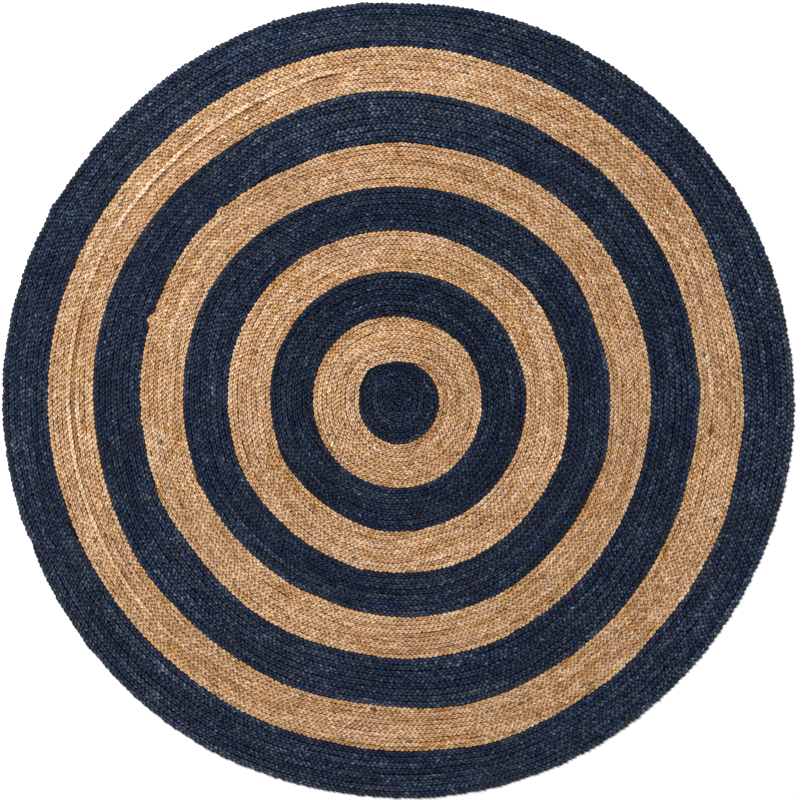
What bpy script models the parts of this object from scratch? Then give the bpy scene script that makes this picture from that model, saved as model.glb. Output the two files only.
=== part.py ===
"""A round rug of flat-plaited jute.

Nine lengths of braid, navy and natural in turn, are wound flat one round the other and
sewn edge to edge. Each length is one solid, a flat band with its turns raised on top as
ribs. The underside is flat, at z = 0, and the rug's box is centred on the origin.
"""

import math
from collections import namedtuple

import bmesh
import bpy

MM = 0.001

# Driving sizes, in metres.
CROWN = 0.008  # thickness of the braid along the middle of a turn
SEAM = 0.0058  # height at which the turns are sewn together
GAP = 0.0003  # between one band and the next
MERGE = 0.00001  # points closer than this are one

STATIONS = 48  # cross-sections round a band, the same for all, so that facing edges are parallel
SECTION = math.tau / STATIONS

# The bands from the middle out. The edge is the mean radius of the outer edge, and the
# columns after it say how that edge strays from its circle: off to one side, oval, three
# sided, and in one slack swell (a tight spot where it is negative). Each has its amount
# and the direction in which it is greatest. Step is the direction in which the wound braid
# moves out by a turn. Sizes are in mm, and directions and the swell's width in degrees.
COLUMNS = "name tone turns edge off off_at oval oval_at three three_at swell swell_at wide step"
Band = namedtuple("Band", COLUMNS)
BANDS = (
    Band("centre_coil_navy", "navy", 8, 77.5, 3.8, 265, 1.2, 115, 1.2, 25, 0.0, 0, 10, 150),
    Band("ring_1_natural", "natural", 10, 161.9, 3.1, 230, 1.9, 100, 0.6, 35, -3.8, 80, 22, 60),
    Band("ring_2_navy", "navy", 8, 243.1, 0.6, 245, 2.5, 120, 1.9, 30, 5.6, 207, 10, 205),
    Band("ring_3_natural", "natural", 9, 323.1, 1.9, 270, 3.8, 130, 1.9, 30, 5.6, 204, 15, 275),
    Band("ring_4_navy", "navy", 8, 406.9, 3.8, 190, 3.8, 140, 4.4, 48, -8.8, 174, 23, 30),
    Band("ring_5_natural", "natural", 10, 485.0, 3.1, 170, 3.1, 113, 3.8, 41, 7.5, 202, 7, 200),
    Band("ring_6_navy", "navy", 8, 576.2, 3.1, 220, 3.1, 100, 4.4, 49, 11.2, 97, 14, 120),
    Band("ring_7_natural", "natural", 10, 658.1, 3.8, 235, 1.2, 117, 4.4, 47, 17.5, 98, 26, 305),
    Band("ring_8_navy", "navy", 8, 751.3, 0.6, 285, 1.9, 93, 0.6, 50, 3.1, 106, 18, 200),
)

TONES = {
    "navy": (0.020, 0.027, 0.045, 1.0),
    "natural": (0.48, 0.29, 0.15, 1.0),
}
ROUGHNESS = 0.9
SHARPEST_SMOOTH = 20.0  # degrees: the seams and crowns stay creased


def cleared():
    """Empties the scene, and gives the rug's collection."""
    for obj in list(bpy.data.objects):
        bpy.data.objects.remove(obj, do_unlink=True)
    collection = bpy.data.collections.new("round_jute_rug")
    bpy.context.scene.collection.children.link(collection)
    return collection


def jute(tone):
    """Matt jute yarn of this tone."""
    material = bpy.data.materials.new("jute_" + tone)
    material.use_nodes = True
    shader = material.node_tree.nodes["Principled BSDF"]
    shader.inputs["Base Color"].default_value = TONES[tone]
    shader.inputs["Roughness"].default_value = ROUGHNESS
    shader.inputs["Metallic"].default_value = 0.0
    return material


def edge_radius(band, angle):
    """Radius of the band's outer edge in this direction."""
    radius = band.edge
    waves = (band.off, band.off_at), (band.oval, band.oval_at), (band.three, band.three_at)
    for lobes, (amount, direction) in enumerate(waves, start=1):
        radius += amount * math.cos(lobes * (angle - math.radians(direction)))
    away = math.remainder(angle - math.radians(band.swell_at), math.tau) / math.radians(band.wide)
    return MM * (radius + band.swell * math.exp(-away * away))


def side_radii(inside, band, angle):
    """Radii of the band's two sides in this direction. The first is 0 for the middle coil."""
    inner = edge_radius(inside, angle) + GAP / 2 if inside else 0.0
    outer = edge_radius(band, angle) - (GAP / 2 if band is not BANDS[-1] else 0.0)
    return inner, outer


def round_section(inside, band):
    """The band's cross-section before it is pulled out of round, as (radius, height) points.

    The top has a line along each seam and each crown, half a turn apart.
    """
    inner = MM * inside.edge if inside else 0.0
    outer = MM * band.edge
    lines = 2 * band.turns
    top = [(inner + (outer - inner) * line / lines, SEAM) for line in range(lines + 1)]
    return top + [(outer, 0.0), (inner, 0.0)]


def turned(name, section, collection):
    """The section turned round +Z. One that starts on the axis is open there."""
    count = len(section)
    on_axis = section[0][0] == 0.0
    ends = [(i, (i + 1) % count) for i in range(count - 1 if on_axis else count)]
    profile = bpy.data.meshes.new(name + "_section")
    profile.from_pydata([(radius, 0.0, height) for radius, height in section], ends, [])
    obj = bpy.data.objects.new(name, profile)
    collection.objects.link(obj)
    screw = obj.modifiers.new("turned", "SCREW")
    screw.steps = STATIONS
    screw.render_steps = STATIONS
    screw.use_merge_vertices = True
    screw.merge_threshold = MERGE
    graph = bpy.context.evaluated_depsgraph_get()
    obj.data = bpy.data.meshes.new_from_object(obj.evaluated_get(graph))
    obj.modifiers.clear()
    bpy.data.meshes.remove(profile)
    obj.data.name = name
    return obj


def top_height(band, line, station):
    """Height of the top where this line crosses this station.

    Odd lines are crowns and even ones seams. At the middle of the step they change places,
    so each rib slants across by a whole turn from the station before it to the one after.
    """
    if line in (0, 2 * band.turns):
        return SEAM
    stepping = station == round(math.radians(band.step) / SECTION)
    return CROWN if (line % 2 == 1) != stepping else SEAM


def shape(obj, inside, band):
    """Moves the points of a plain turned band to its uneven sides and its ribs."""
    plain_inner = MM * inside.edge if inside else 0.0
    line_width = (MM * band.edge - plain_inner) / (2 * band.turns)
    for vertex in obj.data.vertices:
        x, y, height = vertex.co
        line = round((math.hypot(x, y) - plain_inner) / line_width)
        station = round(math.atan2(y, x) / SECTION) % STATIONS
        angle = station * SECTION
        inner, outer = side_radii(inside, band, angle)
        radius = inner + (outer - inner) * line / (2 * band.turns)
        if height > 0.0:
            height = top_height(band, line, station)
        vertex.co = (radius * math.cos(angle), radius * math.sin(angle), height)


def split_along_ribs(mesh):
    """Cuts each four-sided face along the diagonal that a rib takes where it steps out."""
    cage = bmesh.new()
    cage.from_mesh(mesh)
    bmesh.ops.triangulate(cage, faces=cage.faces, quad_method="ALTERNATE")
    cage.to_mesh(mesh)
    cage.free()


def box_centre():
    """Middle of the box round the outermost edge."""
    angles = [station * SECTION for station in range(STATIONS)]
    across = [edge_radius(BANDS[-1], angle) * math.cos(angle) for angle in angles]
    along = [edge_radius(BANDS[-1], angle) * math.sin(angle) for angle in angles]
    return (min(across) + max(across)) / 2, (min(along) + max(along)) / 2


def build():
    collection = cleared()
    materials = {tone: jute(tone) for tone in TONES}
    middle_x, middle_y = box_centre()
    for inside, band in zip((None,) + BANDS, BANDS):
        obj = turned(band.name, round_section(inside, band), collection)
        split_along_ribs(obj.data)
        shape(obj, inside, band)
        obj.data.materials.append(materials[band.tone])
        obj.data.shade_smooth()
        obj.data.set_sharp_from_angle(angle=math.radians(SHARPEST_SMOOTH))
        obj.location = (-middle_x, -middle_y, 0.0)


build()
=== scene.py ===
"""A round rug of plaited jute, navy and natural in rings, seen from straight above."""

import math

import bpy
import numpy as np
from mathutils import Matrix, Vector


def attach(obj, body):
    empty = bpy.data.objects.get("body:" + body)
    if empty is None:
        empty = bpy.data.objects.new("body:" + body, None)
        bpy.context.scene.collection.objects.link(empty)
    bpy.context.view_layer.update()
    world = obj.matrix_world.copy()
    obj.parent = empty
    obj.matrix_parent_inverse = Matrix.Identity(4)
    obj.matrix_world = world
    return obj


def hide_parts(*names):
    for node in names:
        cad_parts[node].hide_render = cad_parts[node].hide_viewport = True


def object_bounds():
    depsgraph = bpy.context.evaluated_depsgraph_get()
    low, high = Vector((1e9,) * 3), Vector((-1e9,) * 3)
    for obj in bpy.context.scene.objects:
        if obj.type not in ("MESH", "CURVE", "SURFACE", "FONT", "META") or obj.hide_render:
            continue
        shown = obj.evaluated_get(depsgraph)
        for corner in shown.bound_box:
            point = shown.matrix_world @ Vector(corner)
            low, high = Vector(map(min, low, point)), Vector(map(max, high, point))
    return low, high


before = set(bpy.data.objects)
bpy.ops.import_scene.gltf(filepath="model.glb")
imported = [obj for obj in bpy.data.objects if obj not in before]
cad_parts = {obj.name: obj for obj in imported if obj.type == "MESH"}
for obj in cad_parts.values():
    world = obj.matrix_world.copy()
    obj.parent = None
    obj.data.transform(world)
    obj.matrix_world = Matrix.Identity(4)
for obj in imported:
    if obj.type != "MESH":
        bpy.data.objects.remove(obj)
solids_box = [list(corner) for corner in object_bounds()]


# ---------------------------------------------------------------------------------------
# The camera. It looks straight down through a long lens, with the rug's far side at the
# top of the picture. The rug fills the frame from edge to edge.

VIEW_HEIGHT = 1.5115  # metres of rug from the bottom of the picture to the top
OFF_CENTRE = (-0.0006, 0.0003)  # from the middle of the rug
FOCAL_MM = 85.0
SENSOR_MM = 24.0
CROWN = solids_box[1][2]  # height of the rug's top

lens = bpy.data.cameras.new("camera_above")
lens.sensor_fit = "VERTICAL"
lens.sensor_height = SENSOR_MM
lens.lens = FOCAL_MM
camera = bpy.data.objects.new("camera_above", lens)
camera.location = (*OFF_CENTRE, CROWN + VIEW_HEIGHT * FOCAL_MM / SENSOR_MM)
bpy.context.scene.collection.objects.link(camera)
bpy.context.scene.camera = camera


# ---------------------------------------------------------------------------------------
# Navy bands: the middle coil and every second ring. Each is one length of flat plait in
# three dyed jute strands, wound clockwise from its inner edge out and sewn to the turn
# before it. Its start and its end are drawn thin and tucked in beside a full turn.

MM = 0.001

# The plait. A strand comes up out of the middle, goes over the others to one side and
# dives back under them, and does the same on the other side. The numbers are shares of
# the repeat, of the sway and of the rise. Full is how fat the strand is there, and it is
# fattest where it dives, so that the plait is closed.
ROUTE = (
    # along, aside, up, full
    (0.03, 0.00, -0.10, 0.90),
    (0.11, 0.60, 1.00, 1.20),
    (0.21, 0.98, 0.75, 1.15),
    (0.34, 0.92, -0.70, 1.45),
    (0.53, -0.00, -0.10, 0.90),
    (0.61, -0.60, 1.00, 1.20),
    (0.71, -0.98, 0.75, 1.15),
    (0.84, -0.92, -0.70, 1.45),
)
# A strand's section, in halves of its width and thickness: a crown between two flanks.
SECTION = ((-1.0, -0.55), (0.0, 1.0), (1.0, -0.55))
STRANDS = 3
STRAND_WIDE = 0.52  # of the plait's width
STRAND_THICK = 0.42  # of the plait's thickness
LOBE_NAVY = 0.0095  # along the plait, from one lobe to the next
TAKE_UP = 1.1  # length of a strand to that of its plait
MERGE = 0.00001  # points closer than this are one
BAKE_MARGIN = 0.06  # of a strand's strip on the map for baking
CAP_RADIUS = 0.3  # of a strand's cut end on that map

# How it is wound.
UNDERSIDE = CROWN / 4  # the solid's points lower than this are its underside
PRESSED = 1.26  # width of the plait to its place, before the next turn presses on it
STEP_LENGTH = 0.09  # length in which a turn moves out by one
OVERLAP = 0.25  # of such a step, by which the plait runs past its first and last turn
TIP = 0.25  # size of the plait where it starts and ends
POINTS_A_TURN = 720
HEAVE = 0.0007  # how far a stretch of a turn stands up or sinks
HEAVE_LENGTH = 0.08  # of such a stretch
SLACK = 0.08  # of its place, by which a stretch is wider or narrower than that
SLACK_LENGTH = 0.05  # of such a stretch
SLACK_SEED = 100  # apart from the seeds of the heaves, which are the rings' numbers
# Stretches that stand up out of ring 7 or have sunk into it. From, to and ease are turns
# from the ring's start, and up and out are metres.
LOOSE = (
    # ring, from, to, ease, up, out
    (7, 5.20, 5.60, 0.04, 0.0024, 0.0),
    (7, 4.20, 4.60, 0.04, -0.0014, 0.0),
    (7, 4.546, 4.564, 0.005, -0.0040, -0.0006),
    (7, 5.546, 5.564, 0.005, 0.0, 0.0020),
)
UNEVEN = (  # how the hand-made plait strays, in metres
    # along, in waves of, by up to
    ("NORMAL", 0.006, 0.0022),
    ("NORMAL", 0.014, 0.0016),
    ("X", 0.012, 0.0050),
    ("X", 0.040, 0.0100),
    ("Y", 0.012, 0.0026),
    ("Z", 0.012, 0.0024),
    ("Y", 0.060, 0.0012),
)
RIM = 8  # the rug's outer edge, which nothing presses
RIM_SPREAD = 0.0015  # how far its lobes stand out past its place, so it is drawn in by this
# Each band's outer edge swells and draws in where the winding was slack or tight. The
# narrow swells are two tails of plait at the edge of ring 5 and a knob on the rim. The
# rows are by edge: direction and width in degrees, and how far out in mm.
SWELLS = {
    0: ((106, 9, -2.0), (135, 9, 3.3), (178, 13, -2.4)),
    2: ((22, 9, -2.0), (148, 9, -2.0), (261, 9, 2.5)),
    3: (
        (21, 6, -2.1), (41, 9, 2.4), (61, 6, -2.0), (256, 4, 2.6), (342, 6, 2.4),
        (359, 4, -2.1),
    ),
    4: (
        (20, 6, -3.8), (41, 9, 3.0), (202, 6, 2.4), (249, 4, -2.6), (318, 13, -2.5),
        (344, 6, 4.3),
    ),
    5: (
        (22, 6, -2.6), (90, 6, 3.7), (116, 9, -3.4), (133, 1.0, 6.0), (142, 9, 3.5),
        (162, 0.9, 8.0), (236, 9, 3.0), (260, 9, -3.3), (292, 9, 2.1),
    ),
    6: (
        (2, 4, 3.5), (58, 4, -3.3), (184, 13, -2.7), (213, 9, 3.3), (264, 9, -4.6),
        (286, 9, 4.6), (346, 4, -2.8),
    ),
    7: (
        (18, 6, -4.3), (35, 9, 3.4), (259, 9, -2.1), (286, 6, 5.8), (318, 6, -3.2),
        (340, 6, 4.3), (357, 6, 3.2),
    ),
    8: (
        (9, 13, -2.4), (47, 18, -3.5), (88, 4, -2.9), (144, 18, -3.0),
        (150.8, 0.6, 4.0), (204, 18, -3.3), (258, 13, -3.1), (326, 18, -2.9),
    ),
}


def edge_of(places, direction):
    """Radii of a ring of points, read in the given directions from the middle."""
    angle = np.arctan2(places[:, 1], places[:, 0])
    radius = np.hypot(places[:, 0], places[:, 1])
    order = np.argsort(angle)
    return np.interp(direction, angle[order], radius[order], period=math.tau)


def swell(edge, direction):
    """How far the hand-wound edge stands out from the solid's, in the given directions."""
    out = np.full_like(direction, -RIM_SPREAD if edge == RIM else 0.0)
    for at, wide, amount in SWELLS.get(edge, ()):
        away = np.remainder(direction - math.radians(at) + math.pi, math.tau) - math.pi
        out += MM * amount * np.exp(-((away / math.radians(wide)) ** 2))
    return out


def drift(seed, along, length):
    """Smooth chance values from -1 to 1 along a line, one to each such length of it."""
    place = along / length
    knots = np.random.default_rng(seed).uniform(-1.0, 1.0, int(place[-1]) + 2)
    before = place.astype(int)
    ease = 0.5 - 0.5 * np.cos(math.pi * (place - before))
    return knots[before] * (1 - ease) + knots[before + 1] * ease


def winding(node, ring, turns, step_at):
    """Middle line of the wound plait, its relative size along it, and its mean width."""
    foot = np.array([v.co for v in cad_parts[node].data.vertices])
    foot = foot[foot[:, 2] < UNDERSIDE]
    radius = np.hypot(foot[:, 0], foot[:, 1])
    inmost = radius.min() if ring else 0.0  # the middle coil has no inner edge
    outer = radius > (radius.max() + inmost) / 2
    step = STEP_LENGTH / (math.pi * (radius.max() + inmost))
    turn = np.arange(-OVERLAP * step, turns + OVERLAP * step, 1 / POINTS_A_TURN)
    angle = math.radians(step_at) - math.tau * turn
    high = edge_of(foot[outer], angle) + swell(ring, angle)
    low = edge_of(foot[~outer], angle) + swell(ring - 1, angle) if ring else 0 * turn
    # How many turns lie inside this one. It goes up by one at each step, from -1 before
    # the first, so that the plait comes up out of nothing there and ends in nothing.
    level = -np.ones_like(turn)
    for k in range(turns + 1):
        ease = np.clip((turn - k) / step + 0.5, 0.0, 1.0)
        level += ease * ease * (3 - 2 * ease)
    width = (high - low) / turns
    inside = low + width * np.maximum(level, 0.0)
    outside = low + width * np.minimum(level + 1.0, turns)
    middle = (inside + outside) / 2
    wide = float(width.mean())
    size = np.maximum((outside - inside) / wide, TIP)
    line = np.column_stack([middle * np.cos(angle), middle * np.sin(angle), size * CROWN / 2])
    along = np.cumsum(np.linalg.norm(np.diff(line, axis=0, prepend=line[:1]), axis=1))
    line[:, 2] += HEAVE * drift(ring, along, HEAVE_LENGTH)
    size = size * (1 + SLACK * drift(SLACK_SEED + ring, along, SLACK_LENGTH))
    for loose, start, end, ease, up, out in LOOSE:
        if loose == ring:
            share = np.clip(np.minimum(turn - start, end - turn) / ease, 0, 1)
            line[:, 2] += up * share
            line[:, :2] *= (1 + out * share / middle)[:, None]
    return line, size, wide


def strand(lane, number, wide, period):
    """One of the three strands over one repeat, as a tube along +X, and its mean girth."""
    sway = wide * (1 - STRAND_WIDE) / 2
    rise = CROWN * (1 - STRAND_THICK) / (2 * PRESSED)
    half = np.array([STRAND_WIDE * wide / 2, STRAND_THICK * CROWN / (2 * PRESSED)])
    route = np.array(ROUTE + ((1 + ROUTE[0][0], *ROUTE[0][1:]),))
    full = route[:, 3]
    route = route[:, :3] * (period, sway, rise)
    route[:, 0] += number * period / STRANDS
    sides = len(SECTION)
    bpy.ops.object.select_all(action="DESELECT")
    bpy.ops.mesh.primitive_circle_add(vertices=sides, radius=wide)
    obj = bpy.context.object
    mesh = obj.data
    for corner, share in zip(mesh.vertices, SECTION):
        corner.co = (route[0, 0], *(route[0, 1:] + half * full[0] * share))
    bpy.ops.object.mode_set(mode="EDIT")
    for here in range(1, len(route)):
        bpy.ops.mesh.extrude_region_move(
            TRANSFORM_OT_translate={"value": route[here] - route[here - 1]}
        )
        grown = full[here] / full[here - 1]
        bpy.ops.transform.resize(value=(1.0, grown, grown), center_override=route[here])
    bpy.ops.object.mode_set(mode="OBJECT")

    # The plait's map: along u one a repeat, and along v two a strand, once round it and
    # as much again left free.
    mesh.uv_layers[0].name = "plait"
    rim = np.array(SECTION + SECTION[:1]) * half
    girth = np.concatenate([[0.0], np.cumsum(np.hypot(*np.diff(rim, axis=0).T))])
    for face in mesh.polygons:
        spots = []
        for corner in face.loop_indices:
            place = np.array(mesh.vertices[mesh.loops[corner].vertex_index].co)
            section = int(np.argmin(np.abs(route[:, 0] - place[0])))
            offset = (place[1:] - route[section, 1:]) / full[section]
            around = int(np.argmin(np.hypot(*(rim[:sides] - offset).T)))
            spots.append([section, around])
        wraps = {0, sides - 1} <= {around for _, around in spots}
        for corner, (section, around) in zip(face.loop_indices, spots):
            along = (route[section, 0] - route[0, 0]) / period
            around = sides if wraps and around == 0 else around
            across = 2 * lane + girth[around] / girth[-1]
            mesh.uv_layers["plait"].data[corner].uv = (along, across)
    return obj, girth[-1] * full.mean()


def lay_bake_map(mesh, repeats, first_lane, strip, girth, caps):
    """Lays the strands side by side as strips, in rows on a square, on the map for baking."""
    plaited = np.empty(2 * len(mesh.loops))
    mesh.uv_layers["plait"].data.foreach_get("uv", plaited)
    along, around = plaited.reshape(-1, 2).T
    starts = np.empty(len(mesh.polygons), dtype=int)
    counts = np.empty(len(mesh.polygons), dtype=int)
    mesh.polygons.foreach_get("loop_start", starts)
    mesh.polygons.foreach_get("loop_total", counts)
    begins = np.repeat(np.minimum.reduceat(along, starts), counts)
    per_row = math.ceil(math.sqrt(STRANDS * girth * repeats / strip))
    rows = math.ceil(repeats / per_row)
    height = STRANDS * rows + 1  # the last strip is for the cut ends
    row = np.floor((begins + 0.001) / per_row)
    lane = np.floor(around / 2)
    share = BAKE_MARGIN + (around - 2 * lane) * (1 - 2 * BAKE_MARGIN)
    x = (along - row * per_row) / per_row
    y = (STRANDS * row + lane - first_lane + share) / height
    for number, cap in enumerate(caps):
        corners = slice(starts[cap], starts[cap] + counts[cap])
        turn = np.linspace(0, math.tau, counts[cap], endpoint=False)
        x[corners] = (number + 0.5 + CAP_RADIUS * np.cos(turn)) / len(caps)
        y[corners] = (height - 0.5 + CAP_RADIUS * np.sin(turn)) / height
    baked = mesh.uv_layers.new(name="OFBake")
    baked.data.foreach_set("uv", np.column_stack([x, y]).ravel())


def straight_plait(name, ring, wide, period, repeats):
    """The plait along +X before it is wound, closed at both ends, and a strand's girth."""
    first_lane = STRANDS * ring
    strands = [strand(first_lane + number, number, wide, period) for number in range(STRANDS)]
    girth = strands[0][1]
    bpy.ops.object.select_all(action="DESELECT")
    for one, _ in strands:
        one.select_set(True)
    bpy.context.view_layer.objects.active = strands[0][0]
    bpy.ops.object.join()
    plait = bpy.context.object
    plait.name = plait.data.name = name
    rows = plait.modifiers.new("repeats", "ARRAY")
    rows.count = repeats
    rows.use_relative_offset = False
    rows.use_constant_offset = True
    rows.constant_offset_displace = (period, 0, 0)
    rows.use_merge_vertices = True
    rows.merge_threshold = MERGE
    rows.offset_u = 1.0
    bpy.ops.object.modifier_apply(modifier="repeats")
    sides = len(plait.data.polygons)
    bpy.ops.object.mode_set(mode="EDIT")
    bpy.ops.mesh.select_all(action="SELECT")
    bpy.ops.mesh.fill_holes(sides=len(SECTION))
    bpy.ops.mesh.select_all(action="SELECT")
    bpy.ops.mesh.normals_make_consistent(inside=False)
    bpy.ops.object.mode_set(mode="OBJECT")
    caps = range(sides, len(plait.data.polygons))
    lay_bake_map(plait.data, repeats, first_lane, TAKE_UP * period, girth, caps)
    return plait, girth


def lay_plait(node, ring, turns, lobe, step_at):
    """The wound plait that stands for this band's solid."""
    line, size, wide = winding(node, ring, turns, step_at)
    length = float(np.linalg.norm(np.diff(line, axis=0), axis=1).sum())
    repeats = round(length / (STRANDS * lobe))
    period = length / (repeats + 2 / 3)  # the strands start a third of a repeat apart
    piece, girth = straight_plait(node + "_plait", ring, wide, period, repeats)

    # How far each point is from the middle of the plait to the seams at its sides.
    places = np.empty(3 * len(piece.data.vertices))
    piece.data.vertices.foreach_get("co", places)
    to_seam = piece.data.attributes.new("to_seam", "FLOAT", "POINT")
    to_seam.data.foreach_set("value", np.abs(places[1::3]) * 2 * PRESSED / wide)

    for axis, wave, amount in UNEVEN:
        clouds = bpy.data.textures.new("uneven", "CLOUDS")
        clouds.noise_scale = wave
        push = piece.modifiers.new("uneven", "DISPLACE")
        push.texture = clouds
        push.texture_coords = "LOCAL"
        push.direction = axis
        push.strength = amount
        bpy.ops.object.modifier_apply(modifier="uneven")

    curve = bpy.data.curves.new(node + "_line", "CURVE")
    curve.dimensions = "3D"
    curve.twist_mode = "Z_UP"
    spline = curve.splines.new("POLY")
    spline.points.add(len(line) - 1)
    spline.points.foreach_set("co", np.column_stack([line, np.ones(len(line))]).ravel())
    spline.points.foreach_set("radius", size * PRESSED)
    path = bpy.data.objects.new(node + "_line", curve)
    bpy.context.scene.collection.objects.link(path)
    laid = piece.modifiers.new("laid", "CURVE")
    laid.object = path
    bpy.ops.object.modifier_apply(modifier="laid")
    bpy.data.objects.remove(path)

    # The floor presses it flat from below.
    piece.data.vertices.foreach_get("co", places)
    places[2::3] = np.maximum(places[2::3], 0.0)
    piece.data.vertices.foreach_set("co", places)
    piece.data.shade_smooth()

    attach(piece, "root")
    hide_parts(node)
    return piece


# The jute is mottled by chance. A kind of mottle has a length in metres along the strand
# and a number of parts round it. It goes by band, the same in all three strands, or by
# strand, and apart is how far off in its noise the next band or strand is read. A jute
# fibre is 0.05 mm thick, too fine to show, so fibres are drawn as bundles about 0.6 mm
# wide, in streaks about 2 mm wide.
MOTTLES = (
    # kind, goes by, apart, length, parts, detail
    ("lot", "band", 7.31, 0.40, 0.0, 3.0),
    ("tint", "band", 5.19, 0.30, 0.0, 2.0),
    ("warmth", "band", 9.43, 0.25, 0.0, 3.0),
    ("stretch", "strand", 3.77, 0.05, 0.0, 2.0),
    ("streak", "strand", 1.93, 0.010, 7.0, 2.0),
    ("fibre", "strand", 2.71, 0.014, 26.0, 3.0),
)
REPEAT = 0.026  # metres of strand in one repeat of the plait
TWIST = 0.5  # of the girth, by which the fibres wind round the strand in a repeat
FIBRE_RISE = 0.8 * MM  # height of the bundles
FIBRE_BUMP = 0.8  # strength of their bump
HOLLOW, PEAK = 0.55 * CROWN, 1.3 * CROWN  # painted shade: from darkest to palest between these heights
PEAK_SHARE = 0.7
CROWN_HIGHLIGHT_AT = 0.33  # of the way round a strand, its crown, where the highlight is painted
CROWN_HIGHLIGHT_TO = (0.02, 0.2)  # of the girth to either side, where that starts and ends to fade
SEAM_AT = (0.6, 1.0)  # of the way to the seam, where the painted shade starts and ends to deepen
SEAM_SCALE = 16.0  # a metre, how often a seam goes from slack to tight
SEAM_NOISE = (0.35, 0.65)  # values of the noise where it is slack and where it is tight
SEAM_SHADE_RANGE = (0.3, 1.7)  # of the painted seam shade's mean strength, at those values
RARE = (0.991, 0.995)  # of chance, past which a lobe is a fleck
SHADES = (1.95, 3.25)  # sums of all shares that give the darkest and the palest shade
STRAY_BY_LOBE = 0.6  # share of the single lobe in how the hue and its strength stray
STRAYS = (0.3, 1.3)  # sums that give the least and the most of both


def linear(colour):
    """An sRGB hex colour as linear numbers."""
    values = [int(colour[i : i + 2], 16) / 255 for i in (1, 3, 5)]
    values = [v / 12.92 if v <= 0.04045 else ((v + 0.055) / 1.055) ** 2.4 for v in values]
    return values + [1.0]


def add(tree, kind, settings, inputs):
    """A node with its settings, and with a value or another node's output on each input."""
    node = tree.nodes.new("ShaderNode" + kind)
    for name, value in settings.items():
        setattr(node, name, value)
    for name, value in inputs.items():
        if isinstance(value, bpy.types.NodeSocket):
            tree.links.new(value, node.inputs[name])
        else:
            node.inputs[name].default_value = value
    return node


def mottle(tree, u, v, numbers):
    """The noises of each kind of mottle on the plait's map."""
    twisted = {0: u, 1: TWIST, 2: v}
    twisted = add(tree, "Math", {"operation": "MULTIPLY_ADD"}, twisted).outputs[0]
    noises = {}
    for kind, goes_by, apart, length, parts, detail in MOTTLES:
        spot = {}
        for axis, (value, by) in enumerate(
            ((u, REPEAT / length), (twisted, parts), (numbers[goes_by], apart))
        ):
            scaled = add(tree, "Math", {"operation": "MULTIPLY"}, {0: value, 1: by})
            spot[axis] = scaled.outputs[0]
        spot = add(tree, "CombineXYZ", {}, spot).outputs[0]
        noise = add(tree, "TexNoise", {}, {"Vector": spot, "Scale": 1.0, "Detail": detail})
        noises[kind] = noise.outputs["Fac"]
    return noises


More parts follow.
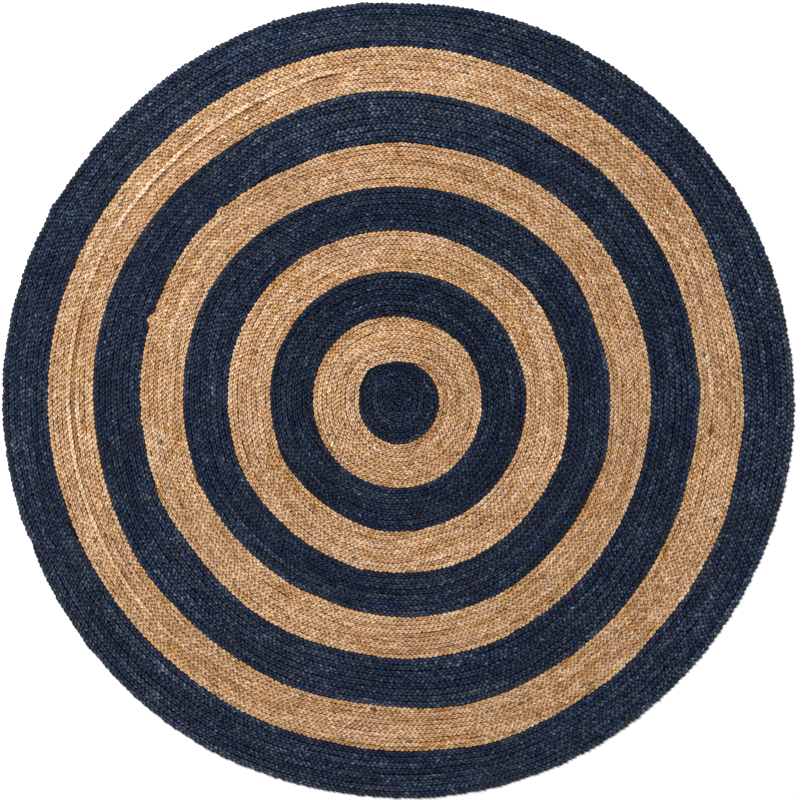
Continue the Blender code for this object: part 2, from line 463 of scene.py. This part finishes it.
def jute(name, shades, tint, warmth, seam_shade, fade, fleck, rough, gloss):
    """Spun jute: matt, in fine streaks along the strand, each stretch of it a little other.

    Tint and warmth are how far its hue and the strength of it stray, the seam shade how much
    painted shade lies along the seams, fade how much paler each strand is than the last one
    further in, and fleck how pale or dark a rare lobe is. Shade is also painted in the
    hollows, and a highlight along the crowns.
    """
    material = bpy.data.materials.new(name)
    material.use_nodes = True
    tree = material.node_tree
    shader = tree.nodes["Principled BSDF"]

    # The number of the lobe, of the strand and of the band, and each lobe's chances.
    place = add(tree, "UVMap", {"uv_map": "plait"}, {}).outputs["UV"]
    u, v, _ = add(tree, "SeparateXYZ", {}, {0: place}).outputs
    half = add(tree, "Math", {"operation": "MULTIPLY"}, {0: v, 1: 0.5}).outputs[0]
    lane = add(tree, "Math", {"operation": "FLOOR"}, {0: half}).outputs[0]
    third = add(tree, "Math", {"operation": "MULTIPLY"}, {0: lane, 1: 1 / STRANDS}).outputs[0]
    band = add(tree, "Math", {"operation": "FLOOR"}, {0: third}).outputs[0]
    twice = add(tree, "Math", {"operation": "MULTIPLY"}, {0: u, 1: 2.0}).outputs[0]
    lobe = add(tree, "Math", {"operation": "FLOOR"}, {0: twice}).outputs[0]
    lobe_at = add(tree, "CombineXYZ", {}, {0: lobe, 1: lane}).outputs[0]
    dice = add(tree, "TexWhiteNoise", {"noise_dimensions": "2D"}, {"Vector": lobe_at}).outputs
    chance = dice["Value"]
    chances = add(tree, "SeparateXYZ", {}, {0: dice["Color"]}).outputs
    noises = mottle(tree, u, v, {"strand": lane, "band": band})

    # Painted shade: darker in the hollows and paler on the crowns, by height.
    spot = add(tree, "TexCoord", {}, {}).outputs["Object"]
    height = add(tree, "SeparateXYZ", {}, {0: spot}).outputs[2]
    high = {"Value": height, "From Min": HOLLOW, "From Max": PEAK, "To Max": PEAK_SHARE}
    shade = add(tree, "MapRange", {}, high).outputs[0]

    # A painted highlight along the crown of each strand.
    around = add(tree, "Math", {"operation": "FLOORED_MODULO"}, {0: v, 1: 2.0}).outputs[0]
    beside = add(tree, "Math", {"operation": "SUBTRACT"}, {0: around, 1: CROWN_HIGHLIGHT_AT}).outputs[0]
    beside = add(tree, "Math", {"operation": "ABSOLUTE"}, {0: beside}).outputs[0]
    crown_highlight = {"Value": beside, "To Min": 1.0, "To Max": 0.0}
    crown_highlight["From Min"], crown_highlight["From Max"] = CROWN_HIGHLIGHT_TO
    crown_highlight = add(tree, "MapRange", {"interpolation_type": "SMOOTHSTEP"}, crown_highlight).outputs[0]

    # Painted shade along the seams, in the grooves between the turns, deeper where they are
    # sewn tight.
    to_seam = add(tree, "Attribute", {"attribute_name": "to_seam"}, {}).outputs["Fac"]
    near = {"Value": to_seam, "From Min": SEAM_AT[0], "From Max": SEAM_AT[1]}
    near = add(tree, "MapRange", {"interpolation_type": "SMOOTHSTEP"}, near).outputs[0]
    seam_shade_strength = add(tree, "TexNoise", {}, {"Vector": spot, "Scale": SEAM_SCALE, "Detail": 1.0})
    seam_shade_strength = {"Value": seam_shade_strength.outputs["Fac"]}
    seam_shade_strength["From Min"], seam_shade_strength["From Max"] = SEAM_NOISE
    seam_shade_strength["To Min"], seam_shade_strength["To Max"] = SEAM_SHADE_RANGE
    seam_shade_strength = add(tree, "MapRange", {}, seam_shade_strength).outputs[0]
    painted_seam_shade = add(tree, "Math", {"operation": "MULTIPLY"}, {0: near, 1: seam_shade_strength}).outputs[0]

    # All these shares together choose the shade.
    for value, share in (
        (crown_highlight, 0.2),
        (painted_seam_shade, -seam_shade),
        (chance, 0.25),
        (lane, fade),
        (noises["lot"], 0.8),
        (noises["stretch"], 0.9),
        (noises["streak"], 1.3),
        (noises["fibre"], 0.9),
    ):
        shares = {0: value, 1: share, 2: shade}
        shade = add(tree, "Math", {"operation": "MULTIPLY_ADD"}, shares).outputs[0]
    shade = {"Value": shade, "From Min": SHADES[0], "From Max": SHADES[1]}
    shade = add(tree, "MapRange", {}, shade).outputs[0]
    colour = add(tree, "ValToRGB", {}, {0: shade})
    steps = colour.color_ramp.elements
    for place, _ in shades[2:]:
        steps.new(place)
    for step, (place, tone) in zip(steps, shades):
        step.position = place
        step.color = linear(tone)

    # The hue and its strength stray by lobe and by stretch, and a few lobes are flecks.
    stray = {}
    for what, luck, middle, most in (("tint", 1, 0.5, tint), ("warmth", 2, 1.0, warmth)):
        mix = {0: chances[luck], 1: STRAY_BY_LOBE, 2: noises[what]}
        mix = add(tree, "Math", {"operation": "MULTIPLY_ADD"}, mix).outputs[0]
        spread = {"Value": mix, "From Min": STRAYS[0], "From Max": STRAYS[1]}
        spread.update({"To Min": middle - most, "To Max": middle + most})
        stray[what] = add(tree, "MapRange", {}, spread).outputs[0]
    rare = {"Value": chance, "From Min": RARE[0], "From Max": RARE[1]}
    rare.update({"To Min": 1.0, "To Max": fleck})
    rare = add(tree, "MapRange", {}, rare).outputs[0]
    dyed = {"Hue": stray["tint"], "Saturation": stray["warmth"], "Value": rare}
    dyed["Color"] = colour.outputs[0]
    colour = add(tree, "HueSaturation", {}, dyed).outputs[0]
    tree.links.new(colour, shader.inputs["Base Color"])

    shader.inputs["Roughness"].default_value = rough
    shader.inputs["Specular IOR Level"].default_value = gloss
    fibres = {"Height": noises["fibre"], "Strength": FIBRE_BUMP, "Distance": FIBRE_RISE}
    bump = add(tree, "Bump", {}, fibres)
    tree.links.new(bump.outputs[0], shader.inputs["Normal"])
    return material


# Jute dyed navy in the yarn, with a faint sheen. Its colours run from nearly black to blue
# grey, in streaks by chance, darkened by painted shade in the hollows and along the seams and
# paled by a painted highlight along the crowns. The rings further out are a little paler.
navy = jute(
    "navy_dyed_jute",
    (
        (0.0, "#040A1C"), (0.3, "#0E192D"), (0.55, "#212C40"), (0.8, "#3B475D"),
        (1.0, "#6C7586"),
    ),
    tint=0.02,
    warmth=0.38,
    seam_shade=0.25,
    fade=0.008,
    fleck=1.4,
    rough=0.6,
    gloss=0.2,
)
for node, ring, turns, step_at in (
    ("centre_coil_navy", 0, 8, 150),
    ("ring_2_navy", 2, 8, 203),
    ("ring_4_navy", 4, 8, 31),
    ("ring_6_navy", 6, 8, 122),
    ("ring_8_navy", 8, 8, 202),
):
    piece = lay_plait(node, ring, turns, LOBE_NAVY, step_at)
    piece.data.materials.append(navy)


# ---------------------------------------------------------------------------------------
# Natural bands: the rings between the navy ones, of the same plait in undyed jute, which
# is plaited a little closer. They are sewn on in the same way.

# Undyed jute, matt: tan and pale straw in streaks, darkened to tan by painted shade in the
# hollows and along the seams and paled to straw by a painted highlight along the crowns,
# with a dark fleck here and there where a bit of bark was spun in.
undyed = jute(
    "undyed_jute",
    (
        (0.0, "#8E5F34"), (0.25, "#B68B5E"), (0.5, "#D2AC87"), (0.75, "#E9CEAB"),
        (1.0, "#FFEED6"),
    ),
    tint=0.010,
    warmth=0.22,
    seam_shade=0.18,
    fade=0.0,
    fleck=0.3,
    rough=0.7,
    gloss=0.3,
)
for node, ring, turns, lobe, step_at in (
    ("ring_1_natural", 1, 10, 0.0089, 60),
    ("ring_3_natural", 3, 9, 0.0089, 275),
    ("ring_5_natural", 5, 10, 0.0089, 200),
    ("ring_7_natural", 7, 10, 0.0094, 303),
):
    piece = lay_plait(node, ring, turns, lobe, step_at)
    piece.data.materials.append(undyed)


# ---------------------------------------------------------------------------------------
# The floor, matt and near white, and the soft light of a studio: a wide round panel high
# up at the far left, and a little light from all sides.

FLOOR_SIZE = 40.0
FLOOR_BELOW = 0.5 * MM  # the rug's underside, so that the two don't share a face
FLOOR_ROUGH = 0.9
ALL_ROUND = 0.6  # strength of the light from all sides
PANEL_SIZE = 2.0
PANEL_WATTS = 200.0
PANEL_AT = (-1.5, 2.0, 4.0)
PANEL_TILT = (-26, -20, 0)  # degrees

bpy.ops.object.select_all(action="DESELECT")
bpy.ops.mesh.primitive_plane_add(size=FLOOR_SIZE, location=(0, 0, -FLOOR_BELOW))
floor = bpy.context.object
floor.name = "studio_floor"
paint = bpy.data.materials.new("matt_white_paint")
paint.use_nodes = True
coat = paint.node_tree.nodes["Principled BSDF"]
coat.inputs["Base Color"].default_value = linear("#F7F7F7")
coat.inputs["Roughness"].default_value = FLOOR_ROUGH
floor.data.materials.append(paint)

world = bpy.data.worlds.new("studio")
world.use_nodes = True
sky = world.node_tree.nodes["Background"]
sky.inputs["Color"].default_value = linear("#FFFFFF")
sky.inputs["Strength"].default_value = ALL_ROUND
bpy.context.scene.world = world

panel = bpy.data.lights.new("overhead_panel", "AREA")
panel.shape = "DISK"
panel.size = PANEL_SIZE
panel.energy = PANEL_WATTS
lamp = bpy.data.objects.new("overhead_panel", panel)
lamp.location = PANEL_AT
lamp.rotation_euler = [math.radians(degrees) for degrees in PANEL_TILT]
bpy.context.scene.collection.objects.link(lamp)
bpy.context.scene.view_settings.view_transform = "Standard"
